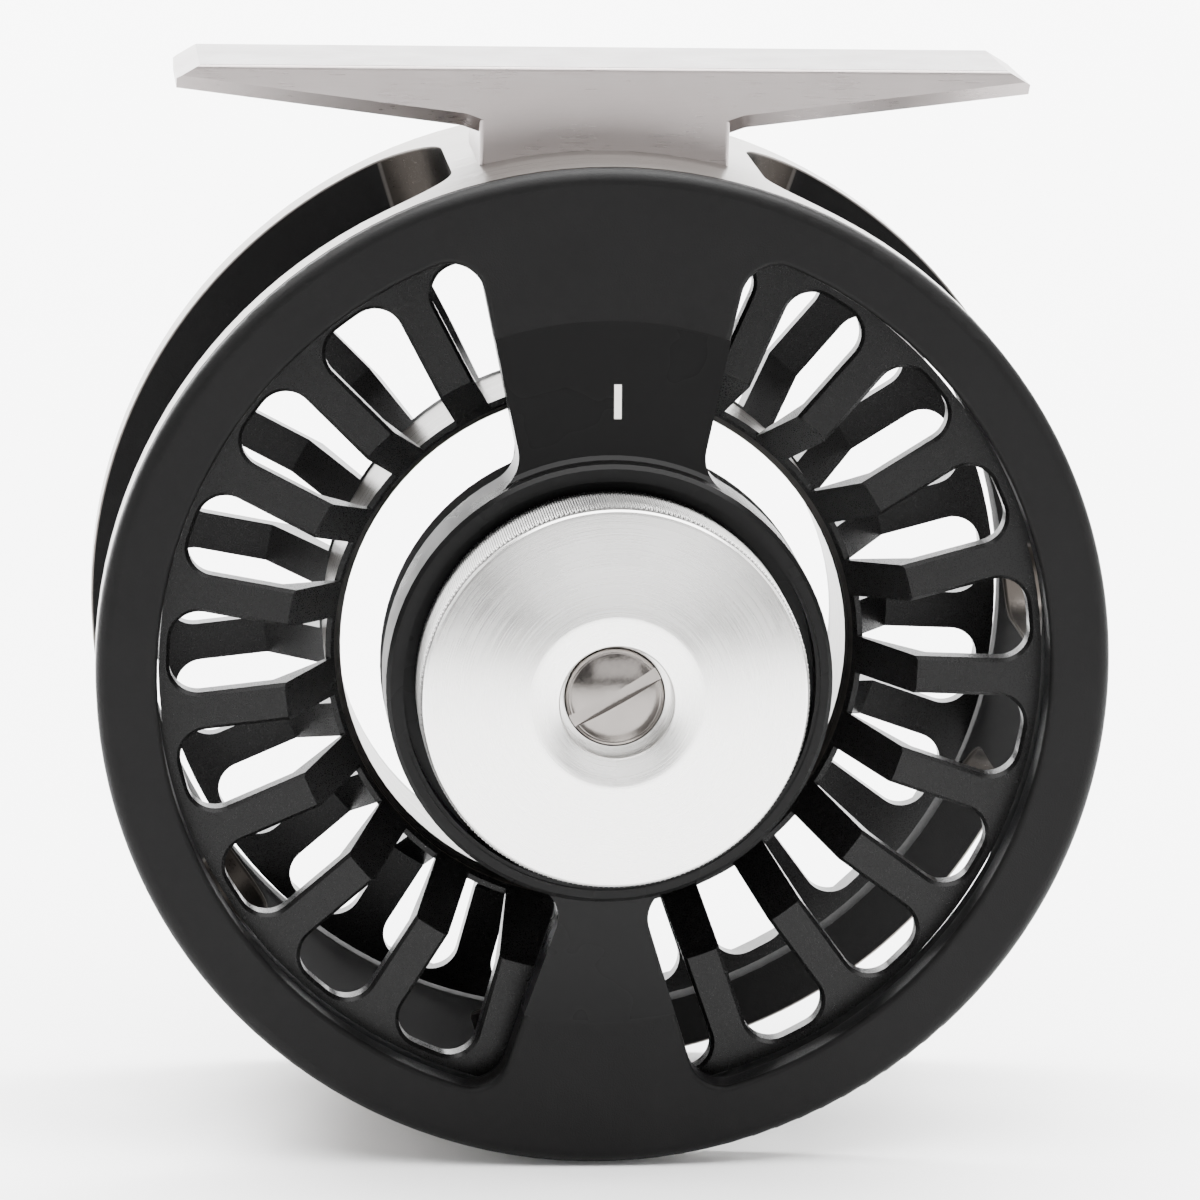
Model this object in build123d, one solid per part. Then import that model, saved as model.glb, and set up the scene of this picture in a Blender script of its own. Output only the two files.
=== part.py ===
from build123d import *
from math import asin, cos, radians, sin
import os

# Fly reel: ported cage with a bonded foot, disc drag with a front knob, and a ported spool.
# Sizes are in millimetres. Everything is drawn in the reel's own frame and placed at the end:
# x runs from the spin axis up to the foot, y to the right seen from the drag knob,
# z along the spin axis from the cage's front face (0) towards the handle.
# Angles about the spin axis start at the foot and run clockwise, seen from the drag knob.

# Cage
CAGE_RADIUS = 42.5
CAGE_DEPTH = 36.6
PLATE_THICKNESS = 3.4
NEAR_RING_BACK = 5.5
FAR_RING_FRONT = 31.8
NEAR_RING_BORE = 37.6
FAR_RING_BORE = 38.0
WINDOW_RADIUS = 37.4
WINDOW_CORNER = 3.0
SPOKE_SLOPE_START = 30.0
SPOKE_SLOPE_RISE = 1.5
TRIM_GROOVE_FRONT = 1.7
TRIM_GROOVE_WIDTH = 0.4
TRIM_GROOVE_DEPTH = 0.35
OPENING_CORNER = 6.5
WINDOW_EDGE_RADIUS = 0.5
RIM_EDGE_RADIUS = 1.2
# centre angle and half angle of the foot bridge and of each side pillar
PILLARS = [(0.5, 18.0), (100.0, 9.0), (210.0, 16.0)]

# Drag housing in the middle of the cage
HOUSING_RADIUS = 18.6
HOUSING_FRONT = -3.6
HOUSING_BACK = 6.4
HOUSING_CHAMFER = 0.35
HOUSING_FOOT_FILLET = 1.0
LIP_STEP_RADIUS = 17.55
LIP_STEP_DEPTH = 0.15
SKIRT_GROOVE_OUTER = 17.2
SKIRT_GROOVE_INNER = 15.0
SKIRT_GROOVE_FLOOR = -1.2
WALL_FRONT = -2.9
WALL_BACK = -1.6
DRAG_BORE = 13.8
COVER_FRONT = 2.6
COVER_BACK = 4.8
COVER_RADIUS = 17.2
COVER_SCREW_CIRCLE = 15.0
PIN_CIRCLE = 9.5
PIN_RADIUS = 1.0
THIRDS = (60, 180, 300)
SPRING_RADIUS = 11.0

# Spring stack before the wall, front to back: knob, two disc springs, thrust plate
SPRING_FACE = WALL_FRONT - 3.1
THRUST_PLATE_FRONT = WALL_FRONT - 1.3
THRUST_PLATE_BACK = WALL_FRONT - 0.5
SPRING_BORE = 6.4
SPRING_THICKNESS = 0.4
SPRING_CONE = 0.5
NUT_THICKNESS = 1.8
NUT_RADIUS = 5.2

# Drag stack behind the wall, front to back: plate, disc, rotor, disc, cover
PRESSURE_PLATE_FRONT = -1.5
FRONT_DISC_FRONT = -0.9
FRONT_DISC_BACK = 0.1
ROTOR_FRONT = 0.35
ROTOR_BACK = 1.55
REAR_DISC_FRONT = 1.6
DISC_RADIUS = 13.4
NECK_RADIUS = 7.0
NECK_BORE = 6.0
NECK_BACK = 9.0

# Foot
SPIN_HEIGHT = 49.45
FOOT_HALF_LENGTH = 35.8
FOOT_WIDTH = 13.8
WING_TIP_THICKNESS = 2.1
WING_ROOT_THICKNESS = 5.1
WING_CHAMFER = 1.2
FOOT_EDGE_RADIUS = 0.4
POST_HALF_WIDTH = 10.5
FOOT_SCREW_SPACING = 7.0

# Spindle, knob and core
SPINDLE_RADIUS = 3.0
THREAD_RADIUS = 2.4
KNOB_RADIUS = 16.15
KNOB_BACK = -1.5
KNOB_BEVEL = 0.45
KNOB_FACE_EDGE = -8.95
KNOB_RIDGE = -10.6
DISH_RADIUS = 7.25
POCKET_RIM = -10.1
POCKET_RADIUS = 4.7
POCKET_FLOOR = -7.1
KNOB_INSIDE_RADIUS = 15.2
KNOB_INSIDE_FRONT = WALL_FRONT - 0.6
SPRING_SEAT_RADIUS = 11.6
SCREW_HEAD_RADIUS = 4.2
SCREW_SEAT = -7.2
SCREW_HEAD_EDGE = -7.7
SCREW_CROWN = -8.75
SCREW_SLOT_WIDTH = 1.1
DETENT_CIRCLE = 12.5
DETENT_BALL_RADIUS = 0.8
SLEEVE_RADIUS = 4.0
RUNNING_GAP = 0.05
FREE_GAP = 0.1

# Spool; its turn is how far it stands round from the foot
SPOOL_TURN = -2.5
RIM_RADIUS = 37.2
LIP_THICKNESS = 0.9
FLANGE_FRONT = 4.1
FLANGE_THICKNESS = 1.9
NEAR_ELBOW = 26.7
FAR_ELBOW = 27.5
BAND_INNER = 21.6
BAND_INNER_FRONT = 13.2
BAND_OUTER = 22.7
BAND_FRONT = 11.9
BAND_BACK = 23.7
FAR_FLANGE_FRONT = 31.2
SPOOL_BACK = 34.8
SLEEVE_BACK = 35.0
THREAD_BACK = 39.0
CAP_BACK = 40.0
CAP_RADIUS = 7.8
CAP_FLUTES = 24
SLOT_COUNT = 21
FIN_WIDTH = 3.2
NEAR_SLOT_END = 36.3
FAR_SLOT_END = 36.0
SLOT_ROOT = 22.2
SLOT_CORNER = 2.4
SLOT_CHAMFER = 0.3
ARM_FRONT = 31.2
ARM_BACK = 34.0
HUB_RADIUS = 10.0
HUB_FRONT = 9.6
HUB_BACK = 34.4
BEARING_RADIUS = 6.0
BEARING_WIDTH = 3.5
FRONT_BEARING = 10.8
REAR_BEARING = 29.0
RETAINER_FRONT = 32.55
RETAINER_BACK = 33.35

# Handle and counterweight, both on the spool's arms
HANDLE_CIRCLE = 31.0
HANDLE_FRONT = 37.0
HANDLE_BACK = 55.0
POST_RADIUS = 2.0
POST_FLANGE_RADIUS = 3.6
POST_FLANGE_THICKNESS = 0.8
WASHER_THICKNESS = 0.4
HANDLE_BOSS_RADIUS = 4.4
HANDLE_BOSS_BACK = HANDLE_FRONT - FREE_GAP - WASHER_THICKNESS - POST_FLANGE_THICKNESS
BOSS_RADIUS = 5.6
WEIGHT_RADIUS = 4.2
WEIGHT_BACK = 38.0
WEIGHT_SCREW_RADIUS = 1.25

# Click
GEAR_FRONT = 5.6
GEAR_BACK = 7.0
GEAR_TEETH = 30
GEAR_TIP = 10.4
GEAR_ROOT = 9.4
PAWL_CIRCLE = 14.0
PAWL_ANGLE = 150.0
PAWL_PIN_RADIUS = 0.6


def ring(outer, inner, front, back):
    """A plain ring about the spin axis."""
    return extrude(Pos(0, 0, front) * (Circle(outer) - Circle(inner)), back - front)


def disc(radius, front, back):
    """A plain disc or shaft about the spin axis."""
    return extrude(Pos(0, 0, front) * Circle(radius), back - front)


def turned(*profile):
    """A solid of revolution from points given as radius and depth."""
    return revolve(Plane.XZ * make_face(Polyline(*profile, close=True)), Axis.Z)


def around(angle, radius):
    """The place at this angle and distance from the spin axis."""
    return Rot(0, 0, angle) * Pos(radius, 0, 0)


def spoke(slope, reach, width):
    """A spoke's outline: its half width is width at that reach and grows with the slope."""
    inner = reach - 12
    outer = CAGE_RADIUS
    half_inner = width - slope * 12
    half_outer = width + slope * (outer - reach)
    return make_face(Polyline(
        (inner, -half_inner), (outer, -half_outer), (outer, half_outer), (inner, half_inner),
        close=True))


def window_outlines():
    """The two windows of the front plate, left and right of the spokes."""
    top_spoke = spoke(0.218, 19.3, 7.8)
    bottom_spoke = Rot(0, 0, 180) * spoke(0.317, 24.5, 4.9)
    windows = Circle(WINDOW_RADIUS) - Circle(HOUSING_RADIUS) - top_spoke - bottom_spoke
    return fillet(windows.vertices(), WINDOW_CORNER)


def side_opening(start, end):
    """The cutter of one gap between two pillars of the cage, with rounded corners."""
    depth = FAR_RING_FRONT - NEAR_RING_BACK
    middle = (FAR_RING_FRONT + NEAR_RING_BACK) / 2
    section = Plane.XZ * Pos(CAGE_RADIUS - 2, middle) * Rectangle(9, depth)
    gap = revolve(section, Axis.Z, revolution_arc=end - start)
    across = [edge for edge in gap.edges().filter_by(GeomType.LINE)
              if abs(edge.tangent_at(0.5).Z) < 0.1]
    return Rot(0, 0, start) * fillet(across, OPENING_CORNER)


def drag_housing():
    """The round housing: a lip and a groove round the knob's skirt, and a bore for the drag."""
    step = HOUSING_FRONT + LIP_STEP_DEPTH
    return turned(
        (0, WALL_FRONT), (SKIRT_GROOVE_INNER, WALL_FRONT), (SKIRT_GROOVE_INNER, SKIRT_GROOVE_FLOOR),
        (SKIRT_GROOVE_OUTER, SKIRT_GROOVE_FLOOR), (SKIRT_GROOVE_OUTER, step), (LIP_STEP_RADIUS, step),
        (LIP_STEP_RADIUS, HOUSING_FRONT), (HOUSING_RADIUS - HOUSING_CHAMFER, HOUSING_FRONT),
        (HOUSING_RADIUS, HOUSING_FRONT + HOUSING_CHAMFER), (HOUSING_RADIUS, HOUSING_BACK),
        (COVER_RADIUS + RUNNING_GAP, HOUSING_BACK), (COVER_RADIUS + RUNNING_GAP, COVER_FRONT),
        (DRAG_BORE, COVER_FRONT), (DRAG_BORE, WALL_BACK), (0, WALL_BACK))


def front_plate():
    """Flat plate with rounded window edges, and spokes that rise towards the housing."""
    windows = extrude(Pos(0, 0, -5) * window_outlines(), 12)
    plate = disc(CAGE_RADIUS, 0, PLATE_THICKNESS) - windows
    window_edges = [edge for edge in plate.edges()
                    if abs(edge.bounding_box().max.Z) < 0.01 and edge.length < 200]
    plate = fillet(window_edges, WINDOW_EDGE_RADIUS)
    foot = HOUSING_FOOT_FILLET
    wall_foot = -SPOKE_SLOPE_RISE - foot
    rise = turned(
        (0, WINDOW_EDGE_RADIUS), (0, wall_foot), (HOUSING_RADIUS, wall_foot),
        (HOUSING_RADIUS + foot * 0.1, wall_foot + foot * 0.56),
        (HOUSING_RADIUS + foot * 0.44, wall_foot + foot * 0.9),
        (HOUSING_RADIUS + foot, -SPOKE_SLOPE_RISE),
        (SPOKE_SLOPE_START, 0), (SPOKE_SLOPE_START, WINDOW_EDGE_RADIUS))
    plate += rise - windows
    return plate - disc(HOUSING_RADIUS - 0.5, wall_foot, PLATE_THICKNESS)


def frame_cage():
    """Front plate, drag housing, rings and pillars in one piece."""
    barrel = ring(CAGE_RADIUS, NEAR_RING_BORE, PLATE_THICKNESS, FAR_RING_FRONT)
    barrel += ring(CAGE_RADIUS, FAR_RING_BORE, FAR_RING_FRONT, CAGE_DEPTH)
    for index, (centre, half) in enumerate(PILLARS):
        next_centre, next_half = PILLARS[(index + 1) % len(PILLARS)]
        start = centre + half
        end = next_centre - next_half
        if end < start:
            end += 360
        barrel -= side_opening(start, end)
    cage = front_plate() + barrel + drag_housing()
    cage -= disc(SPINDLE_RADIUS, WALL_FRONT - 1, WALL_BACK + 1)
    groove_floor = CAGE_RADIUS - TRIM_GROOVE_DEPTH
    groove_back = TRIM_GROOVE_FRONT + TRIM_GROOVE_WIDTH
    cage -= ring(CAGE_RADIUS + 1, groove_floor, TRIM_GROOVE_FRONT, groove_back)
    for angle in THIRDS:
        cage -= around(angle, PIN_CIRCLE) * disc(PIN_RADIUS + RUNNING_GAP, WALL_FRONT - 1, WALL_BACK + 1)
        cage -= around(angle, COVER_SCREW_CIRCLE) * disc(0.8, -0.5, COVER_FRONT + 1)
    for screw_place in foot_screw_places():
        cage -= screw_place * foot_screw_hole()
    rims = [edge for edge in cage.edges().filter_by(GeomType.CIRCLE)
            if abs(edge.radius - CAGE_RADIUS) < 0.01 and edge.length > 200
            and (abs(edge.center().Z) < 0.01 or abs(edge.center().Z - CAGE_DEPTH) < 0.01)]
    return fillet(rims, RIM_EDGE_RADIUS)


def foot_screw_places():
    """Both foot screws point up through the bridge, one behind the other."""
    middle = CAGE_DEPTH / 2
    upward = Rot(0, 90, 0)
    return [Pos(NEAR_RING_BORE, 0, middle + side * FOOT_SCREW_SPACING / 2) * upward for side in (-1, 1)]


def foot_screw_hole():
    """A countersunk clearance hole through the bridge, seen along the screw."""
    shank = extrude(Circle(1.35), 7)
    head = extrude(Pos(0, 0, -0.5) * Circle(2.5), 2.0)
    return shank + head


def foot_screw():
    """A flat-head machine screw with a cross-cut hex socket."""
    head = extrude(Pos(0, 0, 0.3) * Circle(2.4), 1.2)
    shank = extrude(Pos(0, 0, 1.5) * Circle(1.25), 6.0)
    socket = extrude(Pos(0, 0, 0.3) * RegularPolygon(0.9, 6), 0.7)
    return head + shank - socket


def reel_foot():
    """Flat-topped foot with ramped wings, on a post that sits on the round bridge."""
    top = SPIN_HEIGHT
    tip = FOOT_HALF_LENGTH
    post = POST_HALF_WIDTH
    root = top - WING_ROOT_THICKNESS
    right = [(top, tip - 2.0), (top - 1.2, tip), (top - WING_TIP_THICKNESS, tip), (root, post + 1.4),
             (root - 0.5, post), (CAGE_RADIUS - 4, post)]
    left = [(height, -side) for height, side in reversed(right)]
    outline = make_face(Polyline(*right, *left, close=True))
    inner_corners = [corner for corner in outline.vertices() if abs(abs(corner.Y) - post - 1.4) < 0.01]
    outline = fillet(inner_corners, 1.5)
    foot = extrude(Pos(0, 0, (CAGE_DEPTH - FOOT_WIDTH) / 2) * outline, FOOT_WIDTH)
    wing_edges = [edge for edge in foot.edges().filter_by(GeomType.LINE)
                  if abs(edge.tangent_at(0.5).Z) < 0.01 and edge.length > 15
                  and edge.center().X < top - 1]
    foot = chamfer(wing_edges, WING_CHAMFER)
    top_edges = [edge for edge in foot.edges().filter_by(Axis.Y) if abs(edge.center().X - top) < 0.01]
    post_edges = [edge for edge in foot.edges().filter_by(Axis.X) if abs(abs(edge.center().Y) - post) < 0.01]
    foot = fillet(top_edges + post_edges, FOOT_EDGE_RADIUS)
    foot -= disc(CAGE_RADIUS, 0, CAGE_DEPTH)
    for place in foot_screw_places():
        foot -= place * extrude(Circle(1.25), 8.2)
    return foot


def spindle():
    """Fixed shaft, with a thinner threaded end for the cap and a tapped bore for the knob screw."""
    shaft = disc(SPINDLE_RADIUS, SCREW_SEAT, SLEEVE_BACK)
    shaft += disc(THREAD_RADIUS, SLEEVE_BACK, THREAD_BACK)
    return shaft - disc(1.5, SCREW_SEAT, WALL_FRONT)


def spindle_nut():
    """Thin hex nut that clamps the spindle in the housing wall."""
    front = WALL_FRONT - NUT_THICKNESS
    body = extrude(Pos(0, 0, front) * RegularPolygon(NUT_RADIUS, 6), NUT_THICKNESS)
    return body - disc(SPINDLE_RADIUS, front - 1, WALL_FRONT + 1)


def thrust_plate():
    """Washer that carries the spring force to the push pins."""
    return ring(SPRING_RADIUS + 0.2, SPRING_BORE - 0.2, THRUST_PLATE_FRONT, THRUST_PLATE_BACK)


def push_pins():
    """Three pins through the housing wall."""
    pin = disc(PIN_RADIUS, THRUST_PLATE_BACK, PRESSURE_PLATE_FRONT)
    return [around(angle, PIN_CIRCLE) * pin for angle in THIRDS]


def drag_springs():
    """Two disc springs stacked face to face between knob and thrust plate."""
    back = THRUST_PLATE_FRONT
    thick = SPRING_THICKNESS
    waist = back - SPRING_CONE - thick
    first = turned((SPRING_BORE, waist), (SPRING_BORE, waist + thick), (SPRING_RADIUS, back),
                   (SPRING_RADIUS, back - thick))
    second = turned((SPRING_BORE, waist), (SPRING_RADIUS, waist - SPRING_CONE),
                    (SPRING_RADIUS, SPRING_FACE), (SPRING_BORE, waist - thick))
    return [first, second]


def pressure_plate():
    """Plate on the push pins that presses the front friction disc."""
    return ring(DISC_RADIUS, SPINDLE_RADIUS + 0.3, PRESSURE_PLATE_FRONT, FRONT_DISC_FRONT)


def front_friction_disc():
    """Friction disc that moves with the pressure plate."""
    return ring(DISC_RADIUS, 5.0, FRONT_DISC_FRONT, FRONT_DISC_BACK)


def rear_friction_disc():
    """Friction disc on the cover."""
    return ring(DISC_RADIUS, NECK_RADIUS + 0.4, REAR_DISC_FRONT, COVER_FRONT)


def drag_rotor():
    """Braked plate with a neck that holds the roller clutch."""
    plate = ring(DISC_RADIUS - 0.2, 4.5, ROTOR_FRONT, ROTOR_BACK)
    return plate + ring(NECK_RADIUS, NECK_BORE, ROTOR_BACK, NECK_BACK)


def roller_clutch():
    """One-way needle clutch pressed into the rotor's neck."""
    back = NECK_BACK - 0.2
    lip = 0.45
    cup = ring(NECK_BORE, 5.4, ROTOR_BACK, back)
    cup += ring(5.4, 4.2, ROTOR_BACK, ROTOR_BACK + lip) + ring(5.4, 4.2, back - lip, back)
    roller = Pos(4.72, 0, 0) * disc(0.66, ROTOR_BACK + lip, back - lip)
    rollers = [Rot(0, 0, 360 / 14 * index) * roller for index in range(14)]
    return [cup] + rollers


def drag_cover():
    """Cover that closes the drag housing and carries the neck seal and the click."""
    cover = ring(COVER_RADIUS, NECK_RADIUS + 0.2, COVER_FRONT, COVER_BACK)
    cover -= ring(8.4, NECK_RADIUS, COVER_FRONT + 0.5, COVER_BACK + 1)
    cover -= ring(COVER_RADIUS + 1, COVER_RADIUS - 0.55, COVER_FRONT + 0.6, COVER_FRONT + 1.4)
    for angle in THIRDS:
        cover -= around(angle, COVER_SCREW_CIRCLE) * (disc(1.05, 0, 9) + disc(1.6, COVER_BACK - 1.0, 9))
    return cover - around(PAWL_ANGLE, PAWL_CIRCLE) * disc(PAWL_PIN_RADIUS, COVER_BACK - 1.2, 9)


def cover_screws():
    """Three countersunk screws of the drag cover."""
    screw = disc(1.5, COVER_BACK - 1.0, COVER_BACK) + disc(0.8, 0.0, COVER_BACK - 1.0)
    screw -= extrude(Pos(0, 0, COVER_BACK - 0.6) * Rectangle(4, 0.5), 1)
    return [around(angle, COVER_SCREW_CIRCLE) * screw for angle in THIRDS]


def cover_seal():
    """O-ring in the cover's edge groove."""
    return ring(COVER_RADIUS, COVER_RADIUS - 0.55, COVER_FRONT + 0.65, COVER_FRONT + 1.35)


def neck_seal():
    """Lip seal between the cover and the turning neck."""
    return ring(8.4, NECK_RADIUS + RUNNING_GAP, COVER_FRONT + 0.5, COVER_BACK - 0.2)


def click_gear():
    """Toothed ring on the rotor's neck that sounds the click."""
    tooth = make_face(Polyline((GEAR_ROOT - 0.3, -0.75), (GEAR_TIP, -0.25), (GEAR_TIP, 0.25),
                               (GEAR_ROOT - 0.3, 0.75), close=True))
    outline = Circle(GEAR_ROOT) + PolarLocations(0, GEAR_TEETH) * tooth
    gear = extrude(Pos(0, 0, GEAR_FRONT) * outline, GEAR_BACK - GEAR_FRONT)
    return gear - disc(NECK_RADIUS, 0, 9)


def click_pawl():
    """Pawl on its pin, with its tip just clear of the gear's teeth and a flat tail."""
    tip = GEAR_TIP + 0.15 - PAWL_CIRCLE
    outline = Circle(1.4) + make_face(Polyline((0, -1.3), (tip, -0.2), (tip, 0.2), (0, 1.3), close=True))
    outline += Pos(0.9, 0) * Rectangle(1.2, 2.6)
    pawl = extrude(Pos(0, 0, GEAR_FRONT) * outline, GEAR_BACK - GEAR_FRONT)
    pawl -= disc(PAWL_PIN_RADIUS + RUNNING_GAP, 0, 9)
    return around(PAWL_ANGLE, PAWL_CIRCLE) * pawl


def pawl_pin():
    """Headed pin that carries the pawl on the drag cover."""
    pin = disc(PAWL_PIN_RADIUS, COVER_BACK - 1.2, GEAR_BACK + 0.4)
    pin += disc(1.1, GEAR_BACK + 0.1, GEAR_BACK + 0.5)
    pin += disc(1.2, COVER_BACK, GEAR_FRONT - 0.1)
    return around(PAWL_ANGLE, PAWL_CIRCLE) * pin


def click_spring():
    """Leaf spring behind the pawl's tail, on a post that stands on the cover."""
    leaf = Pos(1.95, 0, 0) * extrude(Pos(0, 0, GEAR_FRONT) * Rectangle(0.3, 5.0), 1.2)
    post = Pos(1.95, 3.0, 0) * disc(0.7, COVER_BACK, GEAR_BACK)
    return around(PAWL_ANGLE, PAWL_CIRCLE) * (leaf + post)


def drag_knob():
    """Cup-shaped knob: a low cone with a dish and a screw pocket, and a skirt in the housing's groove."""
    hub_back = SPRING_FACE + 0.7
    bore = SPINDLE_RADIUS + RUNNING_GAP
    knob = turned(
        (POCKET_RADIUS, POCKET_RIM), (DISH_RADIUS, KNOB_RIDGE),
        (KNOB_RADIUS - KNOB_BEVEL, KNOB_FACE_EDGE), (KNOB_RADIUS, KNOB_FACE_EDGE + KNOB_BEVEL),
        (KNOB_RADIUS, KNOB_BACK), (KNOB_INSIDE_RADIUS, KNOB_BACK),
        (KNOB_INSIDE_RADIUS, KNOB_INSIDE_FRONT), (SPRING_SEAT_RADIUS, KNOB_INSIDE_FRONT),
        (SPRING_SEAT_RADIUS, SPRING_FACE), (SPRING_BORE, SPRING_FACE), (SPRING_BORE, hub_back),
        (bore, hub_back), (bore, POCKET_FLOOR), (POCKET_RADIUS, POCKET_FLOOR))
    hole = disc(DETENT_BALL_RADIUS + FREE_GAP, detent_spring_front(), WALL_FRONT)
    return knob - around(90, DETENT_CIRCLE) * hole


def knob_screw():
    """Slotted pan-head screw in the end of the spindle that keeps the knob on."""
    edge = SCREW_HEAD_RADIUS
    rise = SCREW_HEAD_EDGE - SCREW_CROWN
    shoulder = (edge * 0.88, SCREW_CROWN + rise * 0.52)
    crown = ThreePointArc((0, SCREW_CROWN), (edge * 0.5, SCREW_CROWN + rise * 0.14), shoulder)
    round_edge = ThreePointArc(shoulder, (edge * 0.97, SCREW_CROWN + rise * 0.7), (edge, SCREW_HEAD_EDGE))
    sides = Polyline((edge, SCREW_HEAD_EDGE), (edge, SCREW_SEAT), (0, SCREW_SEAT), (0, SCREW_CROWN))
    head = revolve(Plane.XZ * make_face([crown, round_edge, sides]), Axis.Z)
    shank = disc(1.5, SCREW_SEAT, WALL_FRONT - 0.6)
    slot = Rot(0, 0, -30) * extrude(Pos(0, 0, SCREW_CROWN - 1) * Rectangle(SCREW_SLOT_WIDTH, 10), 1.75)
    return head + shank - slot


def detent_ball():
    """Ball that clicks along the housing wall as the knob turns."""
    middle = WALL_FRONT - DETENT_BALL_RADIUS - FREE_GAP
    return around(90, DETENT_CIRCLE) * Pos(0, 0, middle) * Sphere(DETENT_BALL_RADIUS)


def detent_spring_front():
    """Depth of the front end of the detent's spring, where its hole in the knob ends."""
    return WALL_FRONT - 3.5


def detent_spring():
    """Small coil spring behind the ball, drawn as a closed coil."""
    back = WALL_FRONT - 2 * DETENT_BALL_RADIUS - FREE_GAP
    return around(90, DETENT_CIRCLE) * ring(DETENT_BALL_RADIUS, 0.5, detent_spring_front(), back)


def core_sleeve():
    """Sleeve on the spindle that the spool's bearings turn on."""
    step = SLEEVE_BACK - 0.8
    bore = SPINDLE_RADIUS + RUNNING_GAP
    return ring(SLEEVE_RADIUS, bore, FRONT_BEARING + 0.3, step) + ring(5.0, bore, step, SLEEVE_BACK)


def spool_cap():
    """Screw cap on the end of the spindle, with a coin slot and finger grooves."""
    bore = THREAD_RADIUS + RUNNING_GAP
    skirt = SLEEVE_BACK + 0.4
    cap = turned((bore, SLEEVE_BACK), (4.6, SLEEVE_BACK), (4.6, skirt), (CAP_RADIUS, skirt),
                 (CAP_RADIUS, CAP_BACK - 1.0), (CAP_RADIUS - 0.8, CAP_BACK), (0, CAP_BACK),
                 (0, THREAD_BACK + 0.3), (bore, THREAD_BACK + 0.3))
    cap -= extrude(Pos(0, 0, CAP_BACK - 0.5) * Rectangle(1.6, 11), 1)
    flute = disc(0.5, SLEEVE_BACK, CAP_BACK - 0.8)
    for index in range(CAP_FLUTES):
        cap -= around(360 / CAP_FLUTES * index, CAP_RADIUS + 0.3) * flute
    return cap


def slot_outline(outer):
    """One opening between two fins of constant width, with rounded outer corners."""
    half_pitch = 180 / SLOT_COUNT

    def corner(radius, side):
        half = radians(half_pitch) - asin(FIN_WIDTH / 2 / radius)
        return (radius * cos(half), side * radius * sin(half))

    tip = ThreePointArc(corner(outer, -1), (outer, 0), corner(outer, 1))
    root = ThreePointArc(corner(SLOT_ROOT, 1), (SLOT_ROOT, 0), corner(SLOT_ROOT, -1))
    side_a = Line(corner(outer, 1), corner(SLOT_ROOT, 1))
    side_b = Line(corner(SLOT_ROOT, -1), corner(outer, -1))
    face = make_face([tip, side_a, root, side_b])
    return fillet([point for point in face.vertices() if point.X > 30], SLOT_CORNER)


def slots(outer, front, back, flat_face, inward):
    """All openings of one flange, with a chamfer on its flat outer face; inward is 1 or -1."""
    outline = slot_outline(outer)
    slot = extrude(Pos(0, 0, front) * outline, back - front)
    wide = Pos(0, 0, flat_face) * offset(outline, SLOT_CHAMFER, kind=Kind.INTERSECTION)
    narrow = Pos(0, 0, flat_face + inward * SLOT_CHAMFER) * outline
    slot += loft([wide, narrow], ruled=True)
    return [Rot(0, 0, 360 / SLOT_COUNT * index) * slot for index in range(SLOT_COUNT)]


def spool_arm():
    """One of the two arms that join the hub to the far flange, with a boss near its end."""
    outline = make_face(Polyline((0, -6.5), (18, -4.3), (34, -4.3), (34, 4.3), (18, 4.3), (0, 6.5),
                                 close=True))
    outline += Pos(HANDLE_CIRCLE, 0) * Circle(BOSS_RADIUS)
    return extrude(Pos(0, 0, ARM_FRONT) * outline, ARM_BACK - ARM_FRONT)


def spool_wall():
    """Both flanges, their slopes and the arbor band as one turned shell."""
    back = FLANGE_FRONT + FLANGE_THICKNESS
    far_back = FAR_FLANGE_FRONT + FLANGE_THICKNESS
    return turned(
        (RIM_RADIUS, FLANGE_FRONT), (RIM_RADIUS, back), (NEAR_ELBOW + 0.9, back),
        (BAND_OUTER, BAND_FRONT), (BAND_OUTER, BAND_BACK), (FAR_ELBOW, FAR_FLANGE_FRONT),
        (RIM_RADIUS - 0.1, FAR_FLANGE_FRONT), (RIM_RADIUS - 0.1, SPOOL_BACK),
        (RIM_RADIUS - 0.1 - LIP_THICKNESS, SPOOL_BACK), (RIM_RADIUS - 0.1 - LIP_THICKNESS, far_back),
        (FAR_ELBOW - 1.3, far_back), (BAND_INNER, BAND_BACK + 1), (BAND_INNER, BAND_INNER_FRONT),
        (NEAR_ELBOW, FLANGE_FRONT))


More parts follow.
